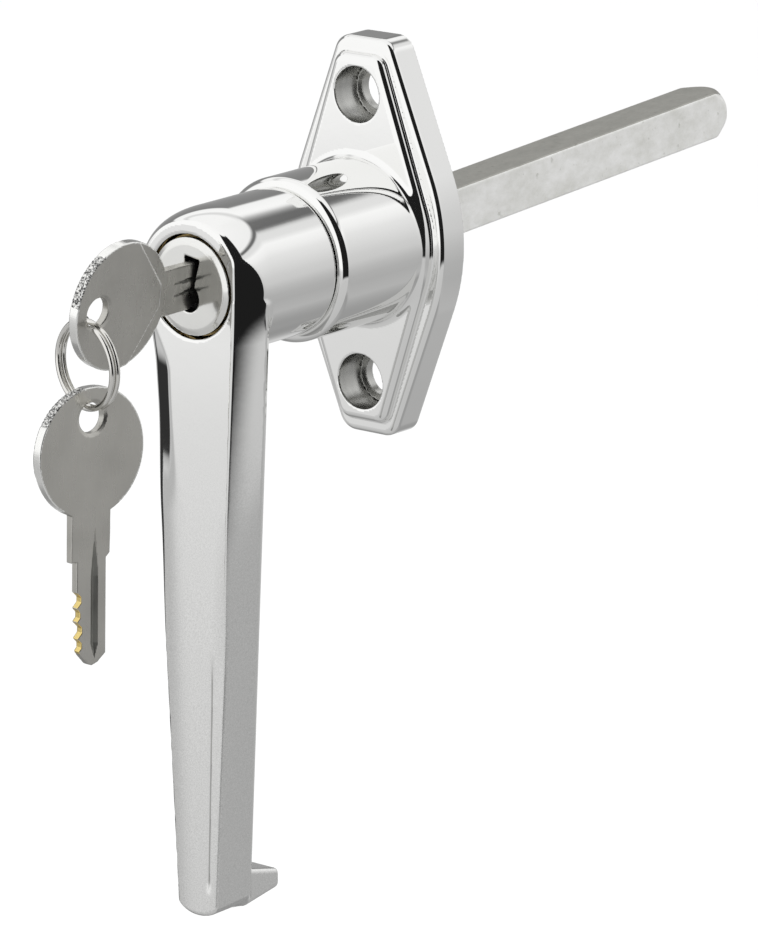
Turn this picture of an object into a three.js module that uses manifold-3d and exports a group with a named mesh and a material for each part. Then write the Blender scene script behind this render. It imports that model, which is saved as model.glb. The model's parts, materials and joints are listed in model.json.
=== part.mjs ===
// Keyed locking L-handle: a chromed die-cast lever handle that turns in a diamond flange, with a
// wafer lock in its hub, a floating square spindle behind it and two keys on a split ring.
// Millimetres. The origin is the centre of the flange's back face, on the turning axis:
// +Y goes into the door, -Y faces the user, +Z is up and +X is to the user's right.
import * as THREE from "three";
import { mergeVertices } from "three/addons/utils/BufferGeometryUtils.js";
import Module from "manifold-3d";

const wasm = await Module();
wasm.setup();

// ---------------------------------------------------------------- driving dimensions
const GAP = 0.3; // clearance between neighbouring pieces

// flange and boss
const SCREW_PITCH = 57.15; // 2-1/4 in between the two mounting screws
const FLANGE_THICK = 9;
const LEDGE_Y = -6.9; // front of the lower tier, the raised plateau stands on it
const FLANGE = { apex: 22.1, slope: 0.398, end: 39.5, midRadius: 37, cornerRadius: 4 };
const PLATEAU = { apex: 18.3, slope: 0.353, end: 36.5, midRadius: 25, cornerRadius: 3 };
const SCREW_HOLE_R = 4.1;
const COUNTERBORE_R = 5.5;
const COUNTERBORE_DEPTH = 6.8;
const BOSS_R = 16.2;
const BOSS_FRONT_Y = -32.3;
const BOSS_LIP = 2; // rounded front edge of the boss
const BOSS_FILLET = 1.4; // cove between boss and plateau
const BEARING_R = 12.1;
const POCKET_R = 15; // washer pocket in the back of the flange
const POCKET_FLOOR_Y = -5.5;
const STOP_RECESS = { outer: 17.4, floorY: -4.6, spread: 97 }; // spread in degrees each way
const WAVE_WASHER = { mean: 13.4, wire: 0.9, flatten: 0.28, wave: 0.12, y: -4.85 };

// handle casting
const HEAD_FRONT_Y = -58.6;
const BARREL_R = 14.5;
const HEAD_FACE_R = 12; // front of the head before its shoulder rounds over
const SHOULDER_Y = -50.8; // where the shoulder meets the barrel
const FLARE_FRONT = 10.6; // half width of the head's front between its flared sides
const FLARE_BACK = 14.6;
const FLARE_BACK_Y = -53;
const JOURNAL_R = BEARING_R - GAP;
const JOURNAL_FRONT_Y = BOSS_FRONT_Y - GAP;
const JOURNAL_END_Y = -1;
const LEVER_BOTTOM_Z = -124.6;
// Half widths and depths of the lever's section at the axis, and what each loses per mm downwards.
const LEVER = {
  front: { x: 11, y: HEAD_FRONT_Y, taper: 0.053, lean: 0.015 },
  parting: { x: 14.8, y: -53.1, taper: 0.0773, lean: -0.018 },
  back: { x: 13.2, y: -50.5, taper: 0.0705, lean: -0.01 },
};
const LEVER_PAD = { half: 10, depth: 1.4, bottom: -24 }; // thicker back just under the hub
const STOP_WASHER = { front: -4.2, back: -3.5, outer: 14.2, tabHalf: 1.6, tabOuter: 16.6, keyHalf: 1.25 };
const KEY_SLOT = { half: 1.6, bottom: -13, top: -10.2 }; // holds the stop washer's key
const RETAINING = { inner: 11.2, outer: 13.6, front: -3, back: -2.2, gapHalf: 3 };
const RETAINING_GROOVE = { inner: 10.9, front: -3.3, back: -1.9 };
const HOOK = { half: 4.6, endY: -40.8, topZ: -119.2, bottomZ: -122.9 };

// lock
const LOCK_FACE_Y = -58.8;
const LOCK_CLOCKING = 9; // degrees: the whole cylinder is pinned slightly turned in the hub
const CAVITY_R = 10.1;
const CAVITY_FLOOR_Y = -33.2;
const TAIL_HOLE_R = 6.5; // lets the plug's tail through the cavity's floor
const TAIL_R = 5.6;
const TAIL_END_Y = -31.1;
const SHELL = { front: -56.4, back: -34.6, outer: 9.8, bore: 7.5, groove: 8.9 };
const CYLINDER_PIN_Y = -41; // pin that holds the cylinder in the hub
const CYLINDER_PIN_R = 1.5;
const CYLINDER_PIN_OUTER = 14.1;
const CHANNEL_HALF = 2.9; // wafer channels in the shell's bore
const CLIP = { inner: 6.3, outer: 9.2, front: -34.1, back: -33.5, gapHalf: 4 };
const PLUG_FACE_R = 9.5;
const PLUG_R = 7.2;
const WAFER_COUNT = 5;
const WAFER_PITCH = 2.95;
const WAFER_FIRST_Y = LOCK_FACE_Y + 4.5;
const WAFER_THICK = 1.4;
const WAFER = { half: 2.5, end: 6.6, lugOuter: 4.3, lugBottom: -2.4, lugTop: -1.2 };
const WINDOW = { half: 1.5, bottom: -3.75, top: 5.35 }; // the blade passes through it
const SPRING_CHAMBER = { inner: 2.7, outer: 4.6, bottom: -4.1, top: 4.5 };
const WAFER_SPRING = { mean: 0.55, wireR: 0.15, length: 4.5, turns: 4, x: 3.55, bottom: -0.55 };
const KEYWAY_TOP = 5.6;
const CAM_PIN_THROW = 2.2; // eccentric pin that drives the bolt
const CAM_PIN_R = 0.9;
const CAM_PIN_ANGLE = -45; // degrees from +X to +Z at rest, it swings up to +45

// locking bolt
const BOLT = { half: 4.5, front: -30.5, back: -27.5, top: 10.6, bottom: -7.5 };
const NOTCH_DEPTH_R = 14.1;

// spindle
const SPINDLE_SIZE = 9.525; // 3/8 in square
const SPINDLE_PIN_Y = -8;
const SPINDLE_FRONT = 12; // length ahead of its pin, inside the socket
const SPINDLE_REAR = 108.2; // length behind its pin
const SPINDLE_PITCH = 4.2; // degrees: it floats on its pin and rests tilted up
const SPINDLE_YAW = -2.15; // degrees, and a little to the right
const SPINDLE_PIN_R = 1.5;
const SPINDLE_PIN_HALF = 11.2;
const SPINDLE_CONE = { length: 3.9, narrowing: 2.1 }; // blunt far end
const SOCKET = { halfX: 5.6, halfZ: 6.05, floor: -20.8 };

// keys and ring
const KEY_THICK = 2;
const KEY_BOW_R = 12.5;
const KEY_HOLE_R = 2.9;
const KEY_HOLE_OFFSET = -6.55; // from the bow's centre, away from the blade
const KEY_SHOULDER = 20.7; // bow centre to shoulder
const SHOULDER_RECESS = 1; // the key's shoulders enter the plug's face this far
const KEY_BLADE = 20.5; // shoulder to tip
const KEY_BITTED_EDGE = 3.3;
const KEY_PLAIN_EDGE = -3.7;
const KEY_SHANK = { bitted: 4.65, plain: -4.6 }; // edges of the neck between bow and shoulder
const KEY_GROOVE = { start: 15, low: -1.5, high: -0.4, depth: 0.45 };
const CUT_FLAT = 0.5; // half the flat at the bottom of a cut
const KEY_CUTS = [0, 1.05, 0.8, 1.25, 1.1];
const KEY_LIFT = 0.4; // the blade sits a little above the lock's axis
const RING_WIRE_R = 0.55;
const RING_MEAN_R = 8.3;
const RING_PITCH = 1.25;
const RING_TURNS = 1.9;
const RING_YAW = -8.5; // degrees: how the ring and the spare key hang round the vertical
const RING_OFFSET = { x: -1.3, y: -0.8 }; // ring's centre from the hole's centre
const SPARE_LEAN = 2.2; // degrees: the spare key's tip hangs a little towards the user

const rad = THREE.MathUtils.degToRad;

// ---------------------------------------------------------------- solids
// A closed geometry as a solid that can be joined and cut.
function solid(geometry) {
  const g = geometry.clone();
  g.deleteAttribute("normal");
  g.deleteAttribute("uv");
  const merged = mergeVertices(g, 1e-4);
  return new wasm.Manifold(
    new wasm.Mesh({
      numProp: 3,
      vertProperties: new Float32Array(merged.attributes.position.array),
      triVerts: new Uint32Array(merged.index.array),
    }),
  );
}

// A solid back as a three.js geometry.
function geometryOf(body) {
  const m = body.getMesh();
  const g = new THREE.BufferGeometry();
  g.setAttribute("position", new THREE.BufferAttribute(new Float32Array(m.vertProperties), 3));
  g.setIndex(new THREE.BufferAttribute(new Uint32Array(m.triVerts), 1));
  const flat = g.toNonIndexed();
  flat.computeVertexNormals();
  return flat;
}

const cut = (body, ...tools) => tools.reduce((b, t) => b.subtract(t), body);
const join = (body, ...more) => more.reduce((b, t) => b.add(t), body);

// Revolved about the Y axis: profile points are [radius, y] with y rising.
function turned(profile, segments = 48) {
  const points = profile.map(([r, y]) => new THREE.Vector2(r, y));
  return solid(new THREE.LatheGeometry(points, segments));
}

// A solid cylinder about Y from y0 to y1.
function rod(radius, y0, y1, segments = 48) {
  return turned([[0, y0], [radius, y0], [radius, y1], [0, y1]], segments);
}

// A washer or tube about Y.
function tube(inner, outer, y0, y1, segments = 48) {
  return cut(rod(outer, y0, y1, segments), rod(inner, y0 - 1, y1 + 1, segments));
}

// A block between two corners.
function block(x0, x1, y0, y1, z0, z1) {
  const g = new THREE.BoxGeometry(x1 - x0, y1 - y0, z1 - z0);
  g.translate((x0 + x1) / 2, (y0 + y1) / 2, (z0 + z1) / 2);
  return solid(g);
}

// A round pin about X.
function pinX(radius, x0, x1, y, z, segments = 24) {
  const g = new THREE.CylinderGeometry(radius, radius, x1 - x0, segments);
  g.rotateZ(Math.PI / 2);
  g.translate((x0 + x1) / 2, y, z);
  return solid(g);
}

// A shape drawn in (x, z), extruded along Y; a bevel rounds its edges inside the same outline.
function slabXZ(shape, y0, y1, bevel = 0, bevelSegments = 2) {
  const g = new THREE.ExtrudeGeometry(shape, {
    depth: y1 - y0 - 2 * bevel,
    bevelEnabled: bevel > 0,
    bevelThickness: bevel,
    bevelSize: bevel,
    bevelOffset: -bevel,
    bevelSegments,
    curveSegments: 8,
  });
  g.rotateX(Math.PI / 2);
  g.translate(0, y1 - bevel, 0);
  return solid(g);
}

// A shape drawn in (y, z), extruded along X.
function slabYZ(shape, x0, x1, curveSegments = 12) {
  const g = new THREE.ExtrudeGeometry(shape, { depth: x1 - x0, bevelEnabled: false, curveSegments });
  const turn = new THREE.Matrix4().makeBasis(
    new THREE.Vector3(0, 1, 0),
    new THREE.Vector3(0, 0, 1),
    new THREE.Vector3(1, 0, 0),
  );
  g.applyMatrix4(turn);
  g.translate(x0, 0, 0);
  return solid(g);
}

// A polygon whose corners are rounded by tangent arcs: points are [x, y, radius], anticlockwise.
function roundedPolygon(corners) {
  const shape = new THREE.Shape();
  corners.forEach(([x, y, radius], i) => {
    const here = new THREE.Vector2(x, y);
    const [px, py] = corners[(i + corners.length - 1) % corners.length];
    const [nx, ny] = corners[(i + 1) % corners.length];
    const back = new THREE.Vector2(px, py).sub(here).normalize();
    const ahead = new THREE.Vector2(nx, ny).sub(here).normalize();
    const half = Math.acos(THREE.MathUtils.clamp(back.dot(ahead), -1, 1)) / 2;
    const reach = radius / Math.tan(half);
    const start = here.clone().addScaledVector(back, reach);
    const end = here.clone().addScaledVector(ahead, reach);
    const bisector = back.clone().add(ahead).normalize();
    const centre = here.clone().addScaledVector(bisector, radius / Math.sin(half));
    if (i === 0) shape.moveTo(start.x, start.y);
    else shape.lineTo(start.x, start.y);
    if (radius > 0) {
      const a0 = Math.atan2(start.y - centre.y, start.x - centre.x);
      const a1 = Math.atan2(end.y - centre.y, end.x - centre.x);
      const turnsLeft = back.x * ahead.y - back.y * ahead.x < 0;
      shape.absarc(centre.x, centre.y, radius, a0, a1, !turnsLeft);
    }
  });
  shape.closePath();
  return shape;
}

// The long diamond of the flange: sides slope in from the middle to nearly flat ends.
function diamond({ apex, slope, end, midRadius, cornerRadius }) {
  const tip = apex - slope * end;
  return roundedPolygon([
    [apex, 0, midRadius],
    [tip, end, cornerRadius],
    [-tip, end, cornerRadius],
    [-apex, 0, midRadius],
    [-tip, -end, cornerRadius],
    [tip, -end, cornerRadius],
  ]);
}

// ---------------------------------------------------------------- base
function baseCasting() {
  const overhang = 3; // bevelled at both ends, so each tier is made too deep and trimmed
  const lower = slabXZ(diamond(FLANGE), LEDGE_Y, overhang, 0.75);
  const plateau = slabXZ(diamond(PLATEAU), -FLANGE_THICK, overhang, 0.65);
  const behind = block(-60, 60, 0, 10, -60, 60);
  const boss = turned([
    [0, BOSS_FRONT_Y],
    [BOSS_R - BOSS_LIP, BOSS_FRONT_Y],
    [BOSS_R - BOSS_LIP * 0.5, BOSS_FRONT_Y + BOSS_LIP * 0.134],
    [BOSS_R - BOSS_LIP * 0.134, BOSS_FRONT_Y + BOSS_LIP * 0.5],
    [BOSS_R, BOSS_FRONT_Y + BOSS_LIP],
    [BOSS_R, -FLANGE_THICK - BOSS_FILLET],
    [BOSS_R + BOSS_FILLET * 0.134, -FLANGE_THICK - BOSS_FILLET * 0.5],
    [BOSS_R + BOSS_FILLET * 0.5, -FLANGE_THICK - BOSS_FILLET * 0.134],
    [BOSS_R + BOSS_FILLET, -FLANGE_THICK],
    [BOSS_R + BOSS_FILLET, -FLANGE_THICK + 1],
    [0, -FLANGE_THICK + 1],
  ]);
  const footprint = slabXZ(diamond({ ...FLANGE, apex: FLANGE.apex - 0.8 }), BOSS_FRONT_Y - 1, 0);
  let base = join(cut(join(lower, plateau), behind), boss.intersect(footprint));
  base = cut(
    base,
    rod(BEARING_R, BOSS_FRONT_Y - 1, 1),
    rod(POCKET_R, POCKET_FLOOR_Y, 1),
    stopRecess(),
    boltNotch(0),
    boltNotch(90),
    boltNotch(-90),
  );
  for (const side of [1, -1]) {
    const hole = join(
      rod(SCREW_HOLE_R, -20, 1, 32),
      rod(COUNTERBORE_R, -20, -FLANGE_THICK + COUNTERBORE_DEPTH, 32),
    ).translate([0, 0, (side * SCREW_PITCH) / 2]);
    base = cut(base, hole);
  }
  return base;
}

// Arc in the washer pocket that the stop washer's tab sweeps, a quarter turn each way.
function stopRecess() {
  const outer = STOP_RECESS.outer;
  const spread = rad(STOP_RECESS.spread);
  const shape = new THREE.Shape();
  shape.moveTo(0, 0);
  shape.absarc(0, 0, outer, Math.PI / 2 - spread, Math.PI / 2 + spread, false);
  shape.closePath();
  return slabXZ(shape, STOP_RECESS.floorY, 1).intersect(rod(outer, POCKET_FLOOR_Y, 2));
}

// Notch in the bearing that the locking bolt's nose enters.
function boltNotch(angle) {
  const half = BOLT.half + 0.4;
  return block(-half, half, BOLT.front - GAP, BOLT.back + GAP, 8, NOTCH_DEPTH_R)
    .rotate([0, angle, 0]);
}

// Three-wave spring washer between the pocket floor and the stop washer.
function waveWasher() {
  const { mean, wire: wireR, flatten, wave, y } = WAVE_WASHER;
  const g = new THREE.TorusGeometry(mean, wireR, 8, 36);
  g.rotateX(Math.PI / 2);
  g.scale(1, flatten, 1);
  const at = g.attributes.position;
  for (let i = 0; i < at.count; i++) {
    const angle = Math.atan2(at.getZ(i), at.getX(i));
    at.setY(i, at.getY(i) + wave * Math.cos(3 * angle) + y);
  }
  return solid(g);
}

// ---------------------------------------------------------------- handle
function handleCasting() {
  const head = turned(headProfile()).intersect(headFlanks());
  const lever = leverBlade();
  const backY = LEVER.back.y;
  const pad = block(
    -LEVER_PAD.half,
    LEVER_PAD.half,
    backY - 2,
    backY + LEVER_PAD.depth,
    LEVER_PAD.bottom,
    -BARREL_R + 4,
  );
  let handle = join(head, lever, pad, hook());
  const reach = BEARING_R + 2;
  handle = cut(
    handle,
    rod(CAVITY_R, HEAD_FRONT_Y - 5, CAVITY_FLOOR_Y),
    rod(TAIL_HOLE_R, CAVITY_FLOOR_Y - 1, BOLT.front + 1, 32),
    block(-BOLT.half - GAP, BOLT.half + GAP, BOLT.front - GAP, BOLT.back + GAP, -8, reach),
    block(-SOCKET.halfX, SOCKET.halfX, SOCKET.floor, 1, -SOCKET.halfZ, SOCKET.halfZ),
    pinX(SPINDLE_PIN_R + GAP, -reach, reach, SPINDLE_PIN_Y, 0),
    pinX(CYLINDER_PIN_R + GAP, -BARREL_R - 1, -CAVITY_R + 1, CYLINDER_PIN_Y, 0)
      .rotate([0, LOCK_CLOCKING, 0]),
    tube(RETAINING_GROOVE.inner, BEARING_R + 1, RETAINING_GROOVE.front, RETAINING_GROOVE.back),
    block(-KEY_SLOT.half, KEY_SLOT.half, POCKET_FLOOR_Y + 1, 1, KEY_SLOT.bottom, KEY_SLOT.top),
  );
  return handle;
}

// Outline of the turned part of the handle, from the front face to the end of the journal.
function headProfile() {
  const shoulder = [];
  const steps = 6;
  for (let i = 0; i <= steps; i++) {
    const a = (i / steps) * (Math.PI / 2);
    shoulder.push([
      HEAD_FACE_R + (BARREL_R - HEAD_FACE_R) * Math.sin(a),
      SHOULDER_Y - (SHOULDER_Y - HEAD_FRONT_Y) * Math.cos(a),
    ]);
  }
  return [
    [0, HEAD_FRONT_Y],
    ...shoulder,
    [BARREL_R, JOURNAL_FRONT_Y - 0.6],
    [BARREL_R - 0.6, JOURNAL_FRONT_Y],
    [JOURNAL_R, JOURNAL_FRONT_Y],
    [JOURNAL_R, JOURNAL_END_Y - 0.6],
    [JOURNAL_R - 0.6, JOURNAL_END_Y],
    [0, JOURNAL_END_Y],
  ];
}

// Upright prism that flattens both sides of the head, in line with the lever's flared sides.
function headFlanks() {
  const shape = new THREE.Shape();
  shape.moveTo(-FLARE_FRONT, HEAD_FRONT_Y);
  shape.lineTo(FLARE_FRONT, HEAD_FRONT_Y);
  shape.lineTo(FLARE_BACK, FLARE_BACK_Y);
  shape.lineTo(FLARE_BACK, 0);
  shape.lineTo(-FLARE_BACK, 0);
  shape.lineTo(-FLARE_BACK, FLARE_BACK_Y);
  shape.closePath();
  const g = new THREE.ExtrudeGeometry(shape, { depth: 40, bevelEnabled: false });
  g.translate(0, 0, -20);
  return solid(g);
}

// The lever: its section extruded downwards, each point then carried along its own taper.
function leverBlade() {
  const { front, parting, back } = LEVER;
  const section = new THREE.Shape();
  section.moveTo(-back.x + 1.2, back.y);
  section.quadraticCurveTo(-back.x, back.y, -parting.x, parting.y);
  section.lineTo(-front.x, front.y + 0.3);
  section.quadraticCurveTo(0, front.y - 0.5, front.x, front.y + 0.3);
  section.lineTo(parting.x, parting.y);
  section.quadraticCurveTo(back.x, back.y, back.x - 1.2, back.y);
  section.closePath();
  const length = -LEVER_BOTTOM_Z;
  const g = new THREE.ExtrudeGeometry(section, {
    depth: length,
    steps: 12,
    bevelEnabled: false,
    curveSegments: 6,
  });
  const at = g.attributes.position;
  for (let i = 0; i < at.count; i++) {
    const z = at.getZ(i) - length;
    const y = at.getY(i);
    const [a, b] = y < parting.y ? [front, parting] : [parting, back];
    const share = THREE.MathUtils.clamp((y - a.y) / (b.y - a.y), 0, 1);
    const width = (row) => (row.x + row.taper * z) / row.x;
    const scale = THREE.MathUtils.lerp(width(a), width(b), share);
    const lean = THREE.MathUtils.lerp(a.lean, b.lean, share);
    at.setXYZ(i, at.getX(i) * scale, y + lean * z, z);
  }
  return solid(g).intersect(leverEnd());
}

// Front view of the room the lever keeps to: wide above, rounded at the bottom.
function leverEnd() {
  const half = 5.7;
  const rise = 3.8;
  const shape = new THREE.Shape();
  shape.moveTo(-20, 20);
  shape.lineTo(-9, LEVER_BOTTOM_Z + 30);
  shape.lineTo(-half, LEVER_BOTTOM_Z + rise);
  shape.absellipse(0, LEVER_BOTTOM_Z + rise, half, rise, Math.PI, 2 * Math.PI, false);
  shape.lineTo(9, LEVER_BOTTOM_Z + 30);
  shape.lineTo(20, 20);
  shape.closePath();
  return slabXZ(shape, -70, -30);
}

// The small hook at the back of the lever's end.
function hook() {
  const rootY = LEVER.back.y - 1;
  const outline = roundedPolygon([
    [rootY - 3, LEVER_BOTTOM_Z + 0.6, 0],
    [rootY, LEVER_BOTTOM_Z - 0.2, 1],
    [HOOK.endY, HOOK.bottomZ, 1.3],
    [HOOK.endY, HOOK.topZ, 1.3],
    [rootY, HOOK.topZ + 2.4, 0],
    [rootY - 3, HOOK.topZ + 2.4, 0],
  ]);
  return slabYZ(outline, -HOOK.half, HOOK.half, 5);
}

// Stop washer keyed to the journal, with the tab that meets the ends of the flange's recess.
function stopWasher() {
  const { front, back, outer, tabHalf, tabOuter, keyHalf } = STOP_WASHER;
  const ring = tube(JOURNAL_R + GAP, outer, front, back);
  const tab = block(-tabHalf, tabHalf, front, back, outer - 0.7, tabOuter);
  const key = block(-keyHalf, keyHalf, front, back, -JOURNAL_R - 0.8, KEY_SLOT.top - 0.4);
  return join(ring, tab, key);
}

// Open ring that snaps into the journal's groove.
function retainingRing() {
  const { inner, outer, front, back, gapHalf } = RETAINING;
  return cut(tube(inner, outer, front, back), block(-gapHalf, gapHalf, front - 1, back + 1, -outer - 1, 0));
}

// ---------------------------------------------------------------- lock
function lockShell() {
  let shell = tube(SHELL.bore, SHELL.outer, SHELL.front, SHELL.back);
  const half = CHANNEL_HALF;
  for (let i = 0; i < 4; i++) {
    // wafer channel in the bore, one at each quarter turn
    const channel = block(-half, half, SHELL.front + 1, SHELL.back + 1, 0, SHELL.groove)
      .intersect(rod(SHELL.groove, SHELL.front, SHELL.back + 2))
      .rotate([0, 90 * i, 0]);
    shell = cut(shell, channel);
  }
  const pinHole = pinX(CYLINDER_PIN_R + GAP, -SHELL.outer - 1, -SHELL.groove - 0.3, CYLINDER_PIN_Y, 0);
  return cut(shell, pinHole);
}

function cylinderPin() {
  return pinX(CYLINDER_PIN_R, -CYLINDER_PIN_OUTER, -SHELL.groove - 0.6, CYLINDER_PIN_Y, 0, 20);
}

const waferY = (i) => WAFER_FIRST_Y + WAFER_PITCH * i;

function lockPlug() {
  const clipY = SHELL.back + GAP;
  let plug = turned([
    [0, LOCK_FACE_Y],
    [PLUG_FACE_R - 0.6, LOCK_FACE_Y],
    [PLUG_FACE_R, LOCK_FACE_Y + 0.5],
    [PLUG_FACE_R, SHELL.front - GAP],
    [PLUG_R, SHELL.front - GAP],
    [PLUG_R, clipY],
    [TAIL_R, clipY],
    [TAIL_R, TAIL_END_Y],
    [0, TAIL_END_Y],
  ]);
  const angle = rad(CAM_PIN_ANGLE + LOCK_CLOCKING);
  const pin = rod(CAM_PIN_R, -32, BOLT.back - 0.2, 16).translate([
    CAM_PIN_THROW * Math.cos(angle),
    0,
    CAM_PIN_THROW * Math.sin(angle),
  ]);
  const collar = rod(PLUG_R - 1.2, clipY - 0.01, CAVITY_FLOOR_Y - 0.01);
  plug = join(plug, collar, pin);
  const keyway = block(
    -KEY_THICK / 2 - 0.35,
    KEY_THICK / 2 + 0.35,
    LOCK_FACE_Y - 1,
    LOCK_FACE_Y + SHOULDER_RECESS + KEY_BLADE + 0.4,
    KEY_LIFT + KEY_PLAIN_EDGE - 0.35,
    KEYWAY_TOP,
  );
  const recess = block(-1.35, 1.35, LOCK_FACE_Y - 1, LOCK_FACE_Y + SHOULDER_RECESS, -4.6, 5.4);
  plug = cut(plug, keyway, recess);
  for (let i = 0; i < WAFER_COUNT; i++) {
    const half = WAFER_THICK / 2 + 0.3;
    const y0 = waferY(i) - half;
    const y1 = waferY(i) + half;
    const slot = block(-WAFER.half - GAP, WAFER.half + GAP, y0, y1, -9, 9);
    const { inner, outer, bottom, top } = SPRING_CHAMBER;
    plug = cut(plug, slot, block(inner, outer, y0, y1, bottom, top));
  }
  return plug;
}

// Open clip behind the shell that keeps the plug from being drawn out with the key.
function plugClip() {
  const { inner, outer, front, back, gapHalf } = CLIP;
  const gap = block(-gapHalf, gapHalf, front - 1, back + 1, -outer - 1, 0);
  return cut(tube(inner, outer, front, back, 32), gap);
}

// A wafer: a plate with a window for the blade and a lug that its spring presses on.
function wafer(i) {
  const y0 = waferY(i) - WAFER_THICK / 2;
  const y1 = waferY(i) + WAFER_THICK / 2;
  const plate = block(-WAFER.half, WAFER.half, y0, y1, -WAFER.end, WAFER.end);
  const lug = block(WAFER.half - 0.1, WAFER.lugOuter, y0, y1, WAFER.lugBottom, WAFER.lugTop);
  const window = block(-WINDOW.half, WINDOW.half, y0 - 1, y1 + 1, WINDOW.bottom, WINDOW.top);
  return cut(join(plate, lug), window);
}

class Helix extends THREE.Curve {
  constructor(radius, rise, turns) {
    super();
    Object.assign(this, { radius, rise, turns });
  }
  getPoint(t, target = new THREE.Vector3()) {
    const a = 2 * Math.PI * this.turns * t;
    return target.set(this.radius * Math.cos(a), this.radius * Math.sin(a), this.rise * t);
  }
}

// A wire of n-sided section wound along a curve.
function wire(curve, radius, sides, steps) {
  const section = new THREE.Shape();
  for (let i = 0; i < sides; i++) {
    const a = (2 * Math.PI * i) / sides;
    const [x, y] = [radius * Math.cos(a), radius * Math.sin(a)];
    if (i === 0) section.moveTo(x, y);
    else section.lineTo(x, y);
  }
  section.closePath();
  return new THREE.ExtrudeGeometry(section, { steps, extrudePath: curve, bevelEnabled: false });
}

function waferSpring(i) {
  const { mean, wireR, length, turns, x, bottom } = WAFER_SPRING;
  const g = wire(new Helix(mean, length, turns), wireR, 5, 32);
  g.translate(x, waferY(i), bottom);
  return solid(g);
}

function lockingBolt() {
  const bar = block(-BOLT.half, BOLT.half, BOLT.front, BOLT.back, BOLT.bottom, BOLT.top);
  const low = CAM_PIN_THROW * Math.cos(rad(45)) - CAM_PIN_R - GAP;
  const high = CAM_PIN_THROW + CAM_PIN_R + GAP;
  const restZ = CAM_PIN_THROW * Math.sin(rad(CAM_PIN_ANGLE));
  const half = CAM_PIN_R + GAP + 0.1; // the pin's arc is not quite in step with the bolt
  const slot = block(low, high, BOLT.front - 1, BOLT.back + 1, restZ - half, restZ + half);
  return cut(bar, slot);
}

// ---------------------------------------------------------------- spindle
// Square bar along +Y from its pin, its far end turned to a blunt cone.
function spindleBar() {
  const half = SPINDLE_SIZE / 2;
  const corner = half * Math.SQRT2;
  const bar = block(-half, half, -SPINDLE_FRONT, SPINDLE_REAR, -half, half);
  const envelope = turned([
    [0, -SPINDLE_FRONT],
    [corner - 0.6, -SPINDLE_FRONT],
    [corner + 0.1, -SPINDLE_FRONT + 1],
    [corner + 0.1, SPINDLE_REAR - SPINDLE_CONE.length],
    [corner - SPINDLE_CONE.narrowing, SPINDLE_REAR],
    [0, SPINDLE_REAR],
  ]);
  return cut(bar.intersect(envelope), pinX(SPINDLE_PIN_R + GAP, -8, 8, 0, 0));
}

// ---------------------------------------------------------------- keys and ring
// Key drawn flat: u along the blade from the bow's centre, w towards the bitted edge.
function keyOutline() {
  const { bitted, plain } = KEY_SHANK;
  const tip = KEY_SHOULDER + KEY_BLADE;
  const s = new THREE.Shape();
  const a0 = Math.asin(plain / KEY_BOW_R);
  const a1 = Math.asin(bitted / KEY_BOW_R);
  s.absarc(0, 0, KEY_BOW_R, a1, 2 * Math.PI + a0, false);
  s.lineTo(KEY_SHOULDER - 0.8, plain);
  s.lineTo(KEY_SHOULDER, KEY_PLAIN_EDGE);
  s.lineTo(tip - 2, KEY_PLAIN_EDGE);
  s.lineTo(tip - 0.4, -1.7);
  s.quadraticCurveTo(tip + 0.1, -0.4, tip - 0.3, 0.5);
  for (const [u, w] of bittingPoints(tip).reverse()) s.lineTo(u, w);
  s.lineTo(KEY_SHOULDER, KEY_BITTED_EDGE);
  s.lineTo(KEY_SHOULDER, bitted);
  s.closePath();
  return s;
}

// The cut edge from shoulder to tip: flat-bottomed cuts whose 45 degree flanks meet in peaks.
function bittingPoints(tip) {
  const flat = CUT_FLAT;
  const centre = (i) => KEY_SHOULDER + 4.5 + WAFER_PITCH * i;
  const points = [];
  KEY_CUTS.forEach((depth, i) => {
    if (depth === 0) return;
    const c = centre(i);
    const before = KEY_CUTS[i - 1] || 0;
    const floor = KEY_BITTED_EDGE - depth;
    if (before === 0) points.push([c - flat - depth, KEY_BITTED_EDGE]);
    points.push([c - flat, floor], [c + flat, floor]);
    if (i + 1 < KEY_CUTS.length) {
      const room = WAFER_PITCH - 2 * flat;
      const peak = Math.min(KEY_BITTED_EDGE, (floor + KEY_BITTED_EDGE - KEY_CUTS[i + 1] + room) / 2);
      points.push([c + flat + peak - floor, peak]);
    } else {
      points.push([c + flat + 0.6, floor + 0.6], [tip - 2.2, 2.2]);
    }
  });
  return points;
}

// A key solid about its bow centre, u along +Y and w along +Z.
function keySolid() {
  const half = KEY_THICK / 2;
  const outline = keyOutline();
  const hole = new THREE.Path();
  hole.absarc(KEY_HOLE_OFFSET, 0, KEY_HOLE_R, 0, 2 * Math.PI, true);
  outline.holes.push(hole);
  let key = slabYZ(outline, -half, half, 14);
  for (const side of [1, -1]) {
    const { start, low, high, depth } = KEY_GROOVE;
    const groove = block(half - depth, half + 1, start, KEY_SHOULDER + KEY_BLADE - 1, low, high);
    key = cut(key, side > 0 ? groove : groove.mirror([1, 0, 0]));
  }
  return key;
}

// Split ring of two coils in the XZ plane, about its centre.
function ringSolid() {
  const g = wire(new Helix(RING_MEAN_R, RING_PITCH * RING_TURNS, RING_TURNS), RING_WIRE_R, 8, 68);
  g.translate(0, 0, (-RING_PITCH * RING_TURNS) / 2);
  g.rotateZ(rad(100));
  g.rotateX(Math.PI / 2);
  return solid(g);
}

// ---------------------------------------------------------------- assembly
const finish = {
  chrome: { color: 0xe6e7e6, roughness: 0.08, metalness: 1 },
  steel: { color: 0xa9a9a4, roughness: 0.45, metalness: 1 },
  spring: { color: 0x8c8c8a, roughness: 0.35, metalness: 1 },
  brass: { color: 0xb9924c, roughness: 0.35, metalness: 1 },
  nickel: { color: 0x9c9c95, roughness: 0.4, metalness: 1 },
};

const assembly = new THREE.Group();

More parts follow.
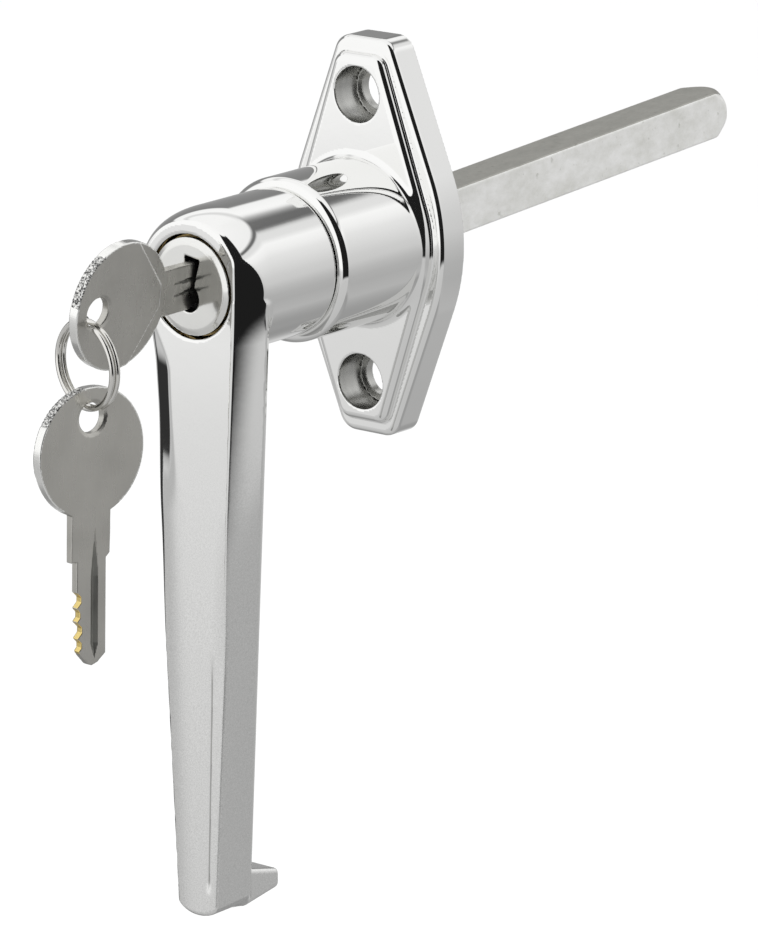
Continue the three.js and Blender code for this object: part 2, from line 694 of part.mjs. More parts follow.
function add(name, body, look, parent = assembly) {
  const mesh = new THREE.Mesh(geometryOf(body), new THREE.MeshStandardMaterial(finish[look]));
  mesh.name = name;
  parent.add(mesh);
  return mesh;
}

add("base_casting", baseCasting(), "chrome");
add("wave_washer", waveWasher(), "spring");
add("handle_casting", handleCasting(), "chrome");
add("stop_washer", stopWasher(), "steel");
add("retaining_ring", retainingRing(), "spring");
add("spindle_cross_pin", pinX(SPINDLE_PIN_R, -SPINDLE_PIN_HALF, SPINDLE_PIN_HALF, SPINDLE_PIN_Y, 0), "steel");
add("locking_bolt", lockingBolt(), "steel");

// The lock cylinder and everything in it are turned about the axis together.
const lock = new THREE.Group();
lock.rotation.y = rad(LOCK_CLOCKING);
assembly.add(lock);
add("lock_cylinder_shell", lockShell(), "brass", lock);
add("cylinder_pin", cylinderPin(), "steel", lock);
add("lock_plug", lockPlug(), "chrome", lock);
add("plug_clip", plugClip(), "spring", lock);
for (let i = 0; i < WAFER_COUNT; i++) {
  add("wafer_" + (i + 1), wafer(i), "brass", lock);
  add("wafer_spring_" + (i + 1), waferSpring(i), "spring", lock);
}

const spindle = add("square_spindle", spindleBar(), "steel");
spindle.position.set(0, SPINDLE_PIN_Y, 0);
spindle.rotation.set(rad(SPINDLE_PITCH), 0, rad(SPINDLE_YAW), "ZXY");

// The working key: its shoulder on the plug's face, bitting up.
const keyBowY = LOCK_FACE_Y + SHOULDER_RECESS - 0.15 - KEY_SHOULDER;
const key = add("key_in_lock", keySolid(), "nickel", lock);
key.position.set(0, keyBowY, KEY_LIFT);

// The ring hangs in the key's hole and the spare key hangs in the ring.
const ringHang = new THREE.Group();
const holeBottom = KEY_LIFT - KEY_HOLE_R;
const ringTopGap = 0.6;
const ringCentreZ = holeBottom + ringTopGap - (RING_MEAN_R - RING_WIRE_R);
ringHang.position.set(RING_OFFSET.x, keyBowY + KEY_HOLE_OFFSET + RING_OFFSET.y, ringCentreZ);
ringHang.rotation.z = rad(RING_YAW);
assembly.add(ringHang);
add("split_ring", ringSolid(), "nickel", ringHang);

const spare = add("spare_key", keySolid(), "nickel", ringHang);
const spareGap = 0.5;
const spareHoleZ = -(RING_MEAN_R - RING_WIRE_R) + spareGap - KEY_HOLE_R;
const drop = -KEY_HOLE_OFFSET;
spare.position.set(0, -drop * Math.sin(rad(SPARE_LEAN)), spareHoleZ - drop * Math.cos(rad(SPARE_LEAN)));
spare.rotation.set(-Math.PI / 2 - rad(SPARE_LEAN), Math.PI, 0); // blade down, bitting to the user

export default assembly;
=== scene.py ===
"""Looks of a keyed locking L-handle: polished chrome castings, a lock plug, nickel keys on a split
ring and a dull zinc-plated square spindle. Shapes are worked out in millimetres and stored in metres."""

import json
import math

import bpy
import numpy as np
from mathutils import Matrix, Vector


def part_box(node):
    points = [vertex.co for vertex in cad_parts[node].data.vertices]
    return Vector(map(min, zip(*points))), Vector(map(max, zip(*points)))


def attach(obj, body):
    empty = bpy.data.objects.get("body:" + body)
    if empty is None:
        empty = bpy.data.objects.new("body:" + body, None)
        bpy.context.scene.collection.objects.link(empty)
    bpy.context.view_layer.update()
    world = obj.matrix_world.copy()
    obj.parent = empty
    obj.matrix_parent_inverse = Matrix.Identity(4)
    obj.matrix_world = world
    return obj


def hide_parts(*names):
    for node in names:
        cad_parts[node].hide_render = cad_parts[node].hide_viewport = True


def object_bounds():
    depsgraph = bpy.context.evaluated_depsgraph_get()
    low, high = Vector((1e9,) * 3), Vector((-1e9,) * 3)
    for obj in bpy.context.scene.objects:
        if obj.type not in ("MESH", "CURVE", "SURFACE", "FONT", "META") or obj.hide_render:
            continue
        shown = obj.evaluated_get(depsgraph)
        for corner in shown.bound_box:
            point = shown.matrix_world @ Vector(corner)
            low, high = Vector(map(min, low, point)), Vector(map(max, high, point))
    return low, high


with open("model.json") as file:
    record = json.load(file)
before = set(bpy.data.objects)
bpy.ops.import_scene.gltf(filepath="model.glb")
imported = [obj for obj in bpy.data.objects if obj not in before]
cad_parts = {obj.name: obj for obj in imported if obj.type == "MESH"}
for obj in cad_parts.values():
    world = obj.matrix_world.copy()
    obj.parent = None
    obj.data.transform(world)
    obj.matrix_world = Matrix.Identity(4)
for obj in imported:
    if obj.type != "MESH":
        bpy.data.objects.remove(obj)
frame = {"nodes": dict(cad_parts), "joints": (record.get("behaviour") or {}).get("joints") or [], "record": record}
cad_low, cad_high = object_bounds()

MM = 0.001
JOINTS = {j["name"]: j for j in frame["joints"]}
MOUNTS = {m["name"]: m for m in frame["record"]["mounts"]}


def box_mm(node):
    """Low and high corner of a CAD node."""
    low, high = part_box(node)
    return np.array(low) / MM, np.array(high) / MM


# ---------------------------------------------------------------- places read from the frame
BASE_LOW, BASE_HIGH = box_mm("base_casting")
HANDLE_LOW, HANDLE_HIGH = box_mm("handle_casting")
PLUG_LOW, PLUG_HIGH = box_mm("lock_plug")
KEY_LOW = box_mm("key_in_lock")[0]
SCREW_Z = MOUNTS["upper_screw_seat"]["pos_m"][2] / MM
SEAT_Y = MOUNTS["upper_screw_seat"]["pos_m"][1] / MM
BOSS_FRONT = BASE_LOW[1]
LOCK_FACE = PLUG_LOW[1]
wafer_axis = JOINTS["wafer_1_slide"]["axis"]
CLOCKING = math.atan2(-wafer_axis[0], -wafer_axis[2])
RING_TOP = np.array(JOINTS["ring_swing"]["pos_m"]) / MM
RING_BOTTOM = np.array(JOINTS["spare_key_swing"]["pos_m"]) / MM
ring_axis = JOINTS["spare_key_swing"]["axis"]
RING_YAW = math.atan2(ring_axis[1], ring_axis[0])
SPINDLE_PIVOT = np.array(JOINTS["spindle_float"]["pos_m"]) / MM
spindle_dir = np.array(MOUNTS["spindle_end"]["axis"])
SPINDLE_END = np.array(MOUNTS["spindle_end"]["pos_m"]) / MM
SPINDLE_REAR = float(np.linalg.norm(SPINDLE_END - SPINDLE_PIVOT))


# ---------------------------------------------------------------- distance fields
# each gives a distance in mm, below 0 inside the solid
def length(*parts):
    return np.sqrt(sum(p * p for p in parts))


def both(a, b, r=0.0):
    """Where both solids are, with the edge between them rounded to r."""
    if np.isscalar(r) and r == 0:
        return np.maximum(a, b)
    u = np.maximum(r + a, 0)
    v = np.maximum(r + b, 0)
    return np.minimum(-r, np.maximum(a, b)) + length(u, v)


def either(a, b, r=0.0):
    """Where either solid is, with the corner between them filled to r."""
    if r == 0:
        return np.minimum(a, b)
    u = np.maximum(r - a, 0)
    v = np.maximum(r - b, 0)
    return np.maximum(r, np.minimum(a, b)) - length(u, v)


def less(a, b, r=0.0):
    """a with b cut out of it, the edge between them rounded to r."""
    return both(a, -b, r)


def crease(a, b, width):
    """Where both solids are, for faces that meet at a shallow angle, blended over width."""
    h = np.maximum(1 - np.abs(a - b) / width, 0)
    return np.maximum(a, b) + h * h * width / 4


def slab(v, low, high):
    """Between low and high."""
    return np.maximum(low - v, v - high)


def brick(x, y, z, low, high, r=0.0):
    """A box with its corners at low and high, its edges rounded to r."""
    q = [np.abs(c - (a + b) / 2) - (b - a) / 2 + r for c, a, b in zip((x, y, z), low, high)]
    out = length(*(np.maximum(c, 0) for c in q))
    return out + np.minimum(np.maximum(np.maximum(q[0], q[1]), q[2]), 0) - r


def polygon(u, v, points, r=0.0):
    """Signed distance to a closed polygon, grown by r."""
    best, inside = None, False
    for (ax, ay), (bx, by) in zip(points, points[1:] + points[:1]):
        ex, ey = bx - ax, by - ay
        t = np.clip(((u - ax) * ex + (v - ay) * ey) / (ex * ex + ey * ey), 0, 1)
        d = (u - ax - t * ex) ** 2 + (v - ay - t * ey) ** 2
        best = d if best is None else np.minimum(best, d)
        crosses = ((ay > v) != (by > v)) & (u < ex * (v - ay) / (ey if ey else 1e-12) + ax)
        inside = crosses ^ inside
    return np.sqrt(best) * np.where(inside, -1.0, 1.0) - r


def diamond(x, z, apex, slope, end, corner, middle):
    """The flange's outline: sloping sides with a bowed middle, straight ends, round corners."""
    x, z = np.abs(x), np.abs(z)
    c = 1 / math.hypot(1, slope)
    s = slope * c
    centre = apex - middle / c
    bow = length(x - centre, z) - middle
    side = np.where(z * c < (x - centre) * s, bow, (x - apex) * c + z * s)
    pz = end - corner
    px = apex - corner / c - slope * pz
    at_corner = ((z - pz) * c > (x - px) * s) & (x > px)
    return np.where(at_corner, length(x - px, z - pz) - corner, np.maximum(side, z - end))


# ---------------------------------------------------------------- meshing a field
def surface_nets(values, axes):
    """Points and quads of the zero surface of values on a regular grid."""
    inside = values < 0
    n = values.shape
    ids, spots, quads = [], [], []
    for axis in range(3):
        u, v = (axis + 1) % 3, (axis + 2) % 3
        here = [slice(None)] * 3
        there = [slice(None)] * 3
        here[axis], there[axis] = slice(0, -1), slice(1, None)
        at = np.argwhere(inside[tuple(here)] != inside[tuple(there)])
        step = np.zeros(3, int)
        step[axis] = 1
        a = values[tuple(at.T)].astype(float)
        b = values[tuple((at + step).T)].astype(float)
        p = np.stack([axes[i][at[:, i]] for i in range(3)], 1)
        p[:, axis] += (axes[axis][1] - axes[axis][0]) * a / (a - b)
        back_u, back_v = np.zeros(3, int), np.zeros(3, int)
        back_u[u], back_v[v] = 1, 1
        ring = [at, at - back_u, at - back_u - back_v, at - back_v]
        cells = np.stack([(c[:, 0] * n[1] + c[:, 1]) * n[2] + c[:, 2] for c in ring], 1)
        quads.append(np.where((a < 0)[:, None], cells, cells[:, ::-1]))
        ids.append(cells.ravel())
        spots.append(np.repeat(p, 4, axis=0))
    ids, spots, quads = np.concatenate(ids), np.concatenate(spots), np.concatenate(quads)
    names, index = np.unique(ids, return_inverse=True)
    count = np.bincount(index)
    points = np.stack([np.bincount(index, spots[:, i]) / count for i in range(3)], 1)
    return points, np.searchsorted(names, quads)


def slope_of(field, p, h=0.01):
    """Gradient of the field at each point."""
    g = np.empty_like(p)
    for i in range(3):
        d = np.zeros(3)
        d[i] = h
        g[:, i] = (field(*(p + d).T) - field(*(p - d).T)) / (2 * h)
    return g


def skin(name, field, low, high, step, place=Matrix.Identity(4)):
    """A mesh object of field's zero surface.

    The field takes x, y and z in mm, and place moves the mesh, also in mm, to where it belongs.
    """
    axes = [np.arange(a - 2.2 * step, b + 3 * step, step) for a, b in zip(low, high)]
    grid = np.meshgrid(*[a.astype(np.float32) for a in axes], indexing="ij", sparse=True)
    values = np.broadcast_to(field(*grid), tuple(len(a) for a in axes))
    points, quads = surface_nets(values, axes)
    # three damped Newton steps put the points on the surface
    for _ in range(3):
        g = slope_of(field, points)
        f = field(*points.T)
        move = -(f / np.maximum((g * g).sum(1), 0.05))[:, None] * g
        reach = np.maximum(np.sqrt((move * move).sum(1)), 1e-9)
        points = points + move * np.minimum(1, 0.4 * step / reach)[:, None]
    normals = slope_of(field, points)
    normals /= np.maximum(np.sqrt((normals * normals).sum(1)), 1e-9)[:, None]
    m = np.array(place)
    points = (points @ m[:3, :3].T + m[:3, 3]) * MM
    normals = normals @ m[:3, :3].T
    mesh = bpy.data.meshes.new(name)
    mesh.from_pydata(points.tolist(), [], quads.tolist())
    mesh.polygons.foreach_set("use_smooth", [True] * len(mesh.polygons))
    mesh.update()
    mesh.normals_split_custom_set_from_vertices(normals.tolist())
    piece = bpy.data.objects.new(name, mesh)
    bpy.context.scene.collection.objects.link(piece)
    return piece


# ---------------------------------------------------------------- base casting
# outlines: half width, slope of the sides, half height, corner radius, radius of the bowed middle
FOOT_OUTLINE = (22.1, 0.398, 39.5, 4.0, 37.0)
PLATEAU_OUTLINE = (18.3, 0.353, 36.5, 3.0, 25.0)
LEDGE = -6.9
PLATEAU_FRONT = -9.0
BOSS_R = 16.2
BEARING_R = 12.1
POCKET_R, POCKET_FLOOR = 15, -5.5
STOP_R, STOP_FLOOR, STOP_SWEEP = 17.4, -4.6, math.radians(97)
BOLT_NOTCH = ((-4.9, -30.8, 8), (4.9, -27.2, 14.1))
SCREW_HOLE_R, COUNTERBORE_R = 4.1, 5.5


def base_field(x, y, z):
    foot = both(diamond(x, z, *FOOT_OUTLINE), LEDGE - y, 1.3)
    foot = both(foot, y, 0.25)
    plateau = both(diamond(x, z, *PLATEAU_OUTLINE), PLATEAU_FRONT - y, 1.5)
    tiers = either(both(plateau, y + 1), foot, 0.5)
    rho = length(x, z)
    boss = both(rho - BOSS_R, BOSS_FRONT - y, 1.9)
    boss = both(boss, y + 1)
    solid = less(either(tiers, boss, 1.5), rho - BEARING_R, 0.35)
    # washer pocket in the back, with the arc that the stop washer's tab sweeps
    pocket = both(rho - POCKET_R, POCKET_FLOOR - y)
    from_top = x * 0 + np.arctan2(np.abs(x), z)
    stop = both(both(rho - STOP_R, STOP_FLOOR - y), (from_top - STOP_SWEEP) * POCKET_R)
    solid = less(solid, np.minimum(pocket, stop), 0.2)
    for a, b in ((x, z), (z, x), (z, -x)):
        solid = less(solid, brick(a, y, b, *BOLT_NOTCH))
    hole = length(x, np.abs(z) - SCREW_Z)
    bore = np.minimum(hole - SCREW_HOLE_R, both(hole - COUNTERBORE_R, y - SEAT_Y))
    return less(solid, bore, 0.3)


# ---------------------------------------------------------------- handle casting
HEAD_FRONT = -58.6
LEVER_BOTTOM = -124.6
BARREL_R = 14.5
# the dome starts at DOME_BACK and closes in to a flat front of radius DOME_FLAT_R
DOME_BACK, DOME_FLAT_R = -50.8, 12
DOME_OUT, DOME_FORE = 2.5, 7.8
# the lever's section at its front, widest and back rows: half width and its taper, y and its lean
LEVER_ROWS = (
    (10.95, 0.0515, HEAD_FRONT, 0.015),
    (14.7, 0.0765, -53.1, -0.018),
    (13.18, 0.0723, -50.5, -0.01),
)
LEVER_HALF = 14.4
LEVER_PAD = ((-10, -53, -24), (10, -49.1, -8))
CREASE_AT = 0.64  # the right crease and its scored line, as a share of the front's half width
SCORE_DEPTH, SCORE_HALF = 0.22, 0.75
END_HALF, END_RISE = 5.9, 3.6
HOOK_SIDE = [(-53, -122.6), (-50.6, -123.3), (-42.0, -121.9)]  # the hook seen along X, before it is grown
HOOK_SIDE += [(-42.0, -120.2), (-50.6, -118.1), (-53, -118.1)]
HOOK_HALF, HOOK_END = 4.55, -41
JOURNAL_R = 11.8
CAVITY_R, CAVITY_FLOOR = 10.1, -33.2
TAIL_HOLE_R, TAIL_HOLE_Y = 6.5, (-34.2, -29.5)
BOLT_SLOT = ((-4.8, -30.8, -8), (4.8, -27.2, 14.1))
SPINDLE_SOCKET = ((-5.6, -20.8, -6.05), (5.6, 3, 6.05))
CROSS_BORE_R, CROSS_BORE_HALF = 1.8, 14
RING_GROOVE_R, RING_GROOVE_Y = 10.9, (-3.3, -1.9)
WASHER_KEYWAY = ((-1.6, -4.5, -13), (1.6, 3, -10.2))
CYLINDER_PIN_R, CYLINDER_PIN_Y = 1.8, -41


def ramp(v, a, b):
    """0 before a, 1 after b, smooth between."""
    t = np.clip((v - a) / (b - a), 0, 1)
    return t * t * (3 - 2 * t)


def facet(ax, y, x0, y0, x1, y1):
    """Distance outside the section's line from (x0, y0) to (x1, y1)."""
    dx, dy = x1 - x0, y1 - y0
    return ((ax - x0) * dy - (y - y0) * dx) / np.sqrt(dx * dx + dy * dy)


def lever_rows(z):
    """Half width and y of each row at height z. The taper starts gently under the head."""
    drop = np.where(z < -10, z + 3, -np.maximum(4 - z, 0) ** 2 / 28)
    return [(half + taper * drop, y + lean * drop) for half, taper, y, lean in LEVER_ROWS]


def head_field(x, y, z):
    """The head with its domed edge, and the barrel behind it."""
    rho = length(x, z)
    out = np.maximum(rho - DOME_FLAT_R, 0)
    fore = np.maximum(DOME_BACK - y, 0)
    g = np.sqrt((out / DOME_OUT) ** 2 + (fore / DOME_FORE) ** 2)
    grad = np.sqrt((out / DOME_OUT**2) ** 2 + (fore / DOME_FORE**2) ** 2)
    dome = (g - 1) * g / np.maximum(grad, 1e-3)
    turned = np.where(y < DOME_BACK, dome, rho - BARREL_R)
    return both(turned, y - (BOSS_FRONT - 0.3), 0.7)


def front_field(x, y, z, near, front_w, front_y):
    """The front face, with a soft facet down each side and a scored line at the right one."""
    front = front_y - y
    inset = front_w * (0.95 - 0.4 * ramp(-z, 5, 18) - 0.1 * ramp(-z, 20, 54))
    left = front - near * (0.5 - 0.36 * ramp(-z, 24, 46)) * (x + inset)
    lower = ramp(-z, 42, 78)
    past = x - CREASE_AT * front_w
    right = front + 0.26 * lower * past
    front = crease(crease(front, left, 0.4 * near + 1e-3), right, 0.06 * lower + 1e-3)
    scored = ramp(-z, 70, 80) * (1 - ramp(-z, 117, 120))
    return front + SCORE_DEPTH * scored * np.maximum(1 - np.abs(past) / SCORE_HALF, 0)


def handle_cuts(x, y, z):
    """The hub's recesses, each with the rounding of its mouth."""
    rho = length(x, z)
    c, s = math.cos(CLOCKING), math.sin(CLOCKING)
    across, along = x * s + z * c, x * c - z * s
    return [
        (both(rho - CAVITY_R, y - CAVITY_FLOOR), 0.55),
        (both(rho - TAIL_HOLE_R, slab(y, *TAIL_HOLE_Y)), 0),
        (brick(x, y, z, *BOLT_SLOT), 0),
        (brick(x, y, z, *SPINDLE_SOCKET), 0.25),
        (both(length(y - SPINDLE_PIVOT[1], z) - CROSS_BORE_R, np.abs(x) - CROSS_BORE_HALF), 0),
        (both(RING_GROOVE_R - rho, slab(y, *RING_GROOVE_Y)), 0),
        (brick(x, y, z, *WASHER_KEYWAY), 0),
        (both(length(y - CYLINDER_PIN_Y, across) - CYLINDER_PIN_R, along + 8), 0.15),
    ]


def handle_field(x, y, z):
    ax = np.abs(x)
    (front_w, front_y), (wide_w, wide_y), (back_w, back_y) = lever_rows(z)
    back_edge = facet(ax, y, wide_w, wide_y, back_w, back_y)
    lever = both(z + 2, y - back_y, 0.6)
    lever = both(lever, back_edge, 0.9)
    lever = np.maximum(lever, ax - LEVER_HALF)
    solid = either(head_field(x, y, z), lever, 0.9)
    pad = brick(x, y, z, *LEVER_PAD, 0.9)
    solid = either(solid, both(pad, back_edge + 0.4, 0.8), 0.4)
    # front and flared sides, whose left edge is softer near the head
    near = ramp(-z, 4.5, 9.5)
    front = front_field(x, y, z, near, front_w, front_y)
    t = np.clip((y - front_y) / (wide_y - front_y), 0, 1)
    flare = facet(ax, y, front_w, front_y, wide_w, wide_y) - 0.2 * t * (1 - t)
    edge = np.where(x < 0, 0.2 + (0.25 + 1.1 * near) * (1 - ramp(-z, 44, 72)), 0.45)
    solid = both(solid, both(front, flare, edge), 0.25)
    # rounded end and hook
    end_x = np.clip(ax / END_HALF, 0, 0.995)
    end = LEVER_BOTTOM + END_RISE * (1 - np.sqrt(1 - end_x * end_x)) - z
    solid = both(solid, end, 0.8)
    hook = both(polygon(y, z, HOOK_SIDE, 1.2), ax - HOOK_HALF - 0.02 * (y - HOOK_END), 0.9)
    solid = either(solid, hook, 0.7)
    journal = both(both(length(x, z) - JOURNAL_R, y + 1, 0.5), BOSS_FRONT - 1 - y)
    solid = either(solid, journal, 0.2)
    for cut, mouth in handle_cuts(x, y, z):
        solid = less(solid, cut, mouth)
    return solid


# ---------------------------------------------------------------- lock plug
WAFERS = [sum(box_mm(f"wafer_{i}"))[1] / 2 for i in range(1, 6)]  # the middle of each, along Y
WAFER_ROOM = ((-2.8, 2.8), (-9, 9))  # slot for a wafer, across and up
SPRING_ROOM = ((2.7, 4.6), (-4.1, 4.5))
PLUG_FACE_R, PLUG_FACE_BACK = 9.5, -56.7
BEVEL_R, BEVEL_NORMAL = 8.35, (0.40, 0.9165)
PLUG_BODY_R, PLUG_BODY_BACK = 7.2, -34.3
PLUG_TAIL_R, PLUG_TAIL_Y = 5.6, (-35, -31.1)
CAM_ARM, CAM_ANGLE, CAM_PIN_R, CAM_PIN_Y = 2.2, math.radians(-36), 0.9, (-32, -27.7)
CAM = (CAM_ARM * math.cos(CAM_ANGLE), CAM_ARM * math.sin(CAM_ANGLE))
KEYWAY = ((-1.35, LOCK_FACE - 2, -3.65), (1.35, -36.9, 5.6))
KEYWAY_MOUTH = ((-1.35, LOCK_FACE - 2, -4.6), (1.35, LOCK_FACE + 1, 5.6))
THROAT = [(-1.0, 1.6), (1.0, 1.6), (1.6, 5.6), (-1.6, 5.6)]
PIT_R, PIT_Z, PIT_DEPTH = 2.7, -2.2, 2.6


def plug_field(x, y, z):
    rho = length(x, z)
    face = both(rho - PLUG_FACE_R, LOCK_FACE - y, 0.15)
    bevel = (rho - BEVEL_R) * BEVEL_NORMAL[0] + (LOCK_FACE - y) * BEVEL_NORMAL[1]
    face = both(both(face, bevel, 0.1), y - PLUG_FACE_BACK, 0.2)
    body = both(both(rho - PLUG_BODY_R, y - PLUG_BODY_BACK), LOCK_FACE + 1 - y)
    tail = both(both(rho - PLUG_TAIL_R, y - PLUG_TAIL_Y[1]), PLUG_TAIL_Y[0] - y)
    solid = np.minimum(np.minimum(face, body), tail)
    cam_pin = both(length(x - CAM[0], z - CAM[1]) - CAM_PIN_R, slab(y, *CAM_PIN_Y), 0.2)
    solid = np.minimum(solid, cam_pin)
    way = brick(x, y, z, *KEYWAY)
    solid = less(solid, np.minimum(way, brick(x, y, z, *KEYWAY_MOUTH)), 0.15)
    pit = length(x, z - PIT_Z) - PIT_R
    opening = np.minimum(polygon(x, z, THROAT, 0.25), pit)
    solid = less(solid, both(opening, y - LOCK_FACE - PIT_DEPTH), 0.2)
    for wy in WAFERS:
        for (x0, x1), (z0, z1) in (WAFER_ROOM, SPRING_ROOM):
            solid = less(solid, brick(x, y, z, (x0, wy - 1, z0), (x1, wy + 1, z1)))
    return solid


# ---------------------------------------------------------------- keys
# drawn flat: u runs along the blade from the bow's centre, w towards the cut edge
BOW_R = 12.5
EYE_OFFSET, EYE_R = -6.55, 2.9
SHOULDER = 20.7
BLADE = 20.5
TIP = SHOULDER + BLADE
NECK_HIGH, NECK_LOW = 4.65, -4.6
BITTED, PLAIN = 3.3, -3.7  # the blade's two edges
FIRST_CUT, PITCH = 4.5, 2.95
CUTS = [0, 1.05, 0.8, 1.25, 1.1]
CUT_FLAT = 0.5
KEY_HALF = 1.0
REED_ANGLE, REED_SPREAD, REED_DEPTH = math.pi - 0.6, 0.45, 0.16
# what key_marks gives a face, in the order of the materials that add_key passes on
PITTED_RIM, IN_CUT, PLAIN_RIM, IN_GROOVE, ON_STEP = 1, 2, 3, 4, 5


def bow_points():
    """The bow's round edge from the neck round to the neck, with a reeded stretch."""
    a0, a1 = math.asin(NECK_HIGH / BOW_R), 2 * math.pi + math.asin(NECK_LOW / BOW_R)
    steps = 150
    points = []
    for i in range(steps + 1):
        a = a0 + (a1 - a0) * i / steps
        reeded = abs(a - REED_ANGLE) < REED_SPREAD
        r = BOW_R - (REED_DEPTH if i % 2 else 0.02) * reeded
        points.append((r * math.cos(a), r * math.sin(a)))
    return points


def cut_points():
    """The cut edge from the shoulder to the tip: flat floors whose 45 degree flanks meet in peaks."""
    points = []
    for i, depth in enumerate(CUTS):
        c = SHOULDER + FIRST_CUT + PITCH * i
        floor = BITTED - depth
        if depth == 0:
            continue
        if CUTS[i - 1] == 0:
            points.append((c - CUT_FLAT - depth, BITTED))
        points += [(c - CUT_FLAT, floor), (c + CUT_FLAT, floor)]
        if i + 1 < len(CUTS):
            peak = min(BITTED, (floor + BITTED - CUTS[i + 1] + PITCH - 2 * CUT_FLAT) / 2)
            points.append((c + CUT_FLAT + peak - floor, peak))
        else:
            points.append((c + CUT_FLAT + 0.6, floor + 0.6))
    return points


OUTLINE = bow_points()
OUTLINE += [(SHOULDER - 0.8, NECK_LOW), (SHOULDER, PLAIN), (TIP - 2, PLAIN), (TIP - 0.4, -1.7)]
OUTLINE += [(TIP, -0.4), (TIP - 0.3, 0.5), (TIP - 2.2, 2.2)]
OUTLINE += cut_points()[::-1] + [(SHOULDER, BITTED), (SHOULDER, NECK_HIGH)]


def coined_step(u, w):
    """Distance past the chevron on the bow, towards the neck."""
    return np.maximum(u - 10.6, (u - 9.0) + (np.abs(w) - 4.4) * 0.75)


def key_field(x, u, w):
    ax = np.abs(x)
    eye = length(u - EYE_OFFSET, w) - EYE_R
    # one side of the bow keeps the full thickness up to the coined step; the eye's rim is dished
    thin = np.where(x > 0, ramp(coined_step(u, w), -0.25, 0.25), ramp(u, 12, SHOULDER))
    thick = KEY_HALF - 0.2 * thin
    thick = thick - 0.35 * np.maximum(0.75 - np.maximum(eye, 0), 0)
    solid = both(np.maximum(polygon(u, w, OUTLINE), -eye), ax - thick, 0.16)
    # a wide groove on both sides that fades out before the tip, and a narrow one on the x > 0 side
    wide = 0.95 * np.clip((u - 14) / 10, 0, 1) * np.clip((TIP - 1.2 - u) / 3, 0, 1) - np.abs(w + 0.9)
    narrow = 0.6 * np.clip((u - 14) / 6, 0, 1) - np.abs(w - 1.5)
    narrow = narrow - 2 * np.maximum(u - SHOULDER - 2, 0) - 9 * (x < 0)
    depth = 0.55 * np.maximum(np.maximum(wide, narrow), 0)
    return np.maximum(solid, (ax - thick + depth) * 0.87)


def key_marks(x, u, w):
    """One of the marks above where the key isn't plain nickel, and 0 where it is."""
    outline = polygon(u, w, OUTLINE)
    # the bow's rim: polished metal, also made lighter as a painted highlight
    rim = (length(u, w) > BOW_R - 0.3) & (u < 10.5)
    pitted = rim & (slab(np.arctan2(w, -u), 0.15, 1.05) < 0)
    cuts = (slab(u, SHOULDER + 5, TIP - 2.6) < 0) & (slab(w, 0.9, BITTED - 0.15) < 0) & (outline > -0.08)
    # the bevel of the coined step, painted bright as a highlight
    step = (x > 0.5) & (np.abs(coined_step(u, w)) < 0.25) & (outline < -0.3)
    # the grooves' floors, which are painted darker as shade
    groove = (np.abs(x) < 0.74) & (np.abs(w - 0.3) < 2) & (outline < -0.3) & (u > 13)
    marks = np.where(rim, PLAIN_RIM, 0)
    marks = np.where(pitted, PITTED_RIM, marks)
    marks = np.where(cuts, IN_CUT, marks)
    marks = np.where(step, ON_STEP, marks)
    return np.where(groove, IN_GROOVE, marks)


# ---------------------------------------------------------------- spindle
BAR_HALF = 9.525 / 2
BAR_FRONT = -12
CONE_R, CONE_NORMAL = 4.63, (0.88, 0.475)


def spindle_field(x, y, z):
    bar = both(np.abs(x) - BAR_HALF, np.abs(z) - BAR_HALF, 0.55)
    bar = both(bar, slab(y, BAR_FRONT, SPINDLE_REAR), 0.3)
    cone = (length(x, z) - CONE_R) * CONE_NORMAL[0] + (y - SPINDLE_REAR) * CONE_NORMAL[1]
    bar = both(bar, cone, 0.35)
    return less(bar, length(y, z) - CROSS_BORE_R)


# ---------------------------------------------------------------- split ring
RING_TURNS, RING_RISE, RING_MEAN_R, RING_WIRE_R = 1.9, 1.25, 8.3, 0.55
RING_STEPS = 220
RING_START = math.radians(100)


def split_ring():
    """Nearly two turns of round wire, ends cut square, turned to the ring's yaw about its centre."""
    curve = bpy.data.curves.new("split_ring_wire", "CURVE")
    curve.dimensions = "3D"
    curve.bevel_depth = RING_WIRE_R * MM
    curve.bevel_resolution = 5
    curve.use_fill_caps = True
    line = curve.splines.new("POLY")
    line.points.add(RING_STEPS)
    centre = (RING_TOP + RING_BOTTOM) / 2
    turn = Matrix.Rotation(RING_YAW, 3, "Z")
    for i in range(RING_STEPS + 1):
        t = i / RING_STEPS
        a = RING_START + 2 * math.pi * RING_TURNS * t
        along = -(RING_RISE * RING_TURNS * (t - 0.5))
        p = turn @ Vector((RING_MEAN_R * math.cos(a), along, RING_MEAN_R * math.sin(a)))
        line.points[i].co = (*((p + Vector(centre)) * MM), 1)
    thing = bpy.data.objects.new("split_ring_wire", curve)
    bpy.context.scene.collection.objects.link(thing)
    graph = bpy.context.evaluated_depsgraph_get()
    mesh = bpy.data.meshes.new_from_object(thing.evaluated_get(graph))
    bpy.data.objects.remove(thing)
    mesh.polygons.foreach_set("use_smooth", [len(p.vertices) == 4 for p in mesh.polygons])
    ring = bpy.data.objects.new("split_ring_coils", mesh)
    bpy.context.scene.collection.objects.link(ring)
    return ring


# ---------------------------------------------------------------- materials
def new_material(name, metallic, roughness, colour):
    m = bpy.data.materials.new(name)
    m.use_nodes = True
    shader = m.node_tree.nodes["Principled BSDF"]
    shader.inputs["Metallic"].default_value = metallic
    shader.inputs["Roughness"].default_value = roughness
    shader.inputs["Base Color"].default_value = (*colour, 1)
    return m, m.node_tree, shader


def feed(tree, socket, value):
    """Gives an input another node's output, or a number."""
    if isinstance(value, (int, float)):
        socket.default_value = value
    else:
        tree.links.new(value, socket)


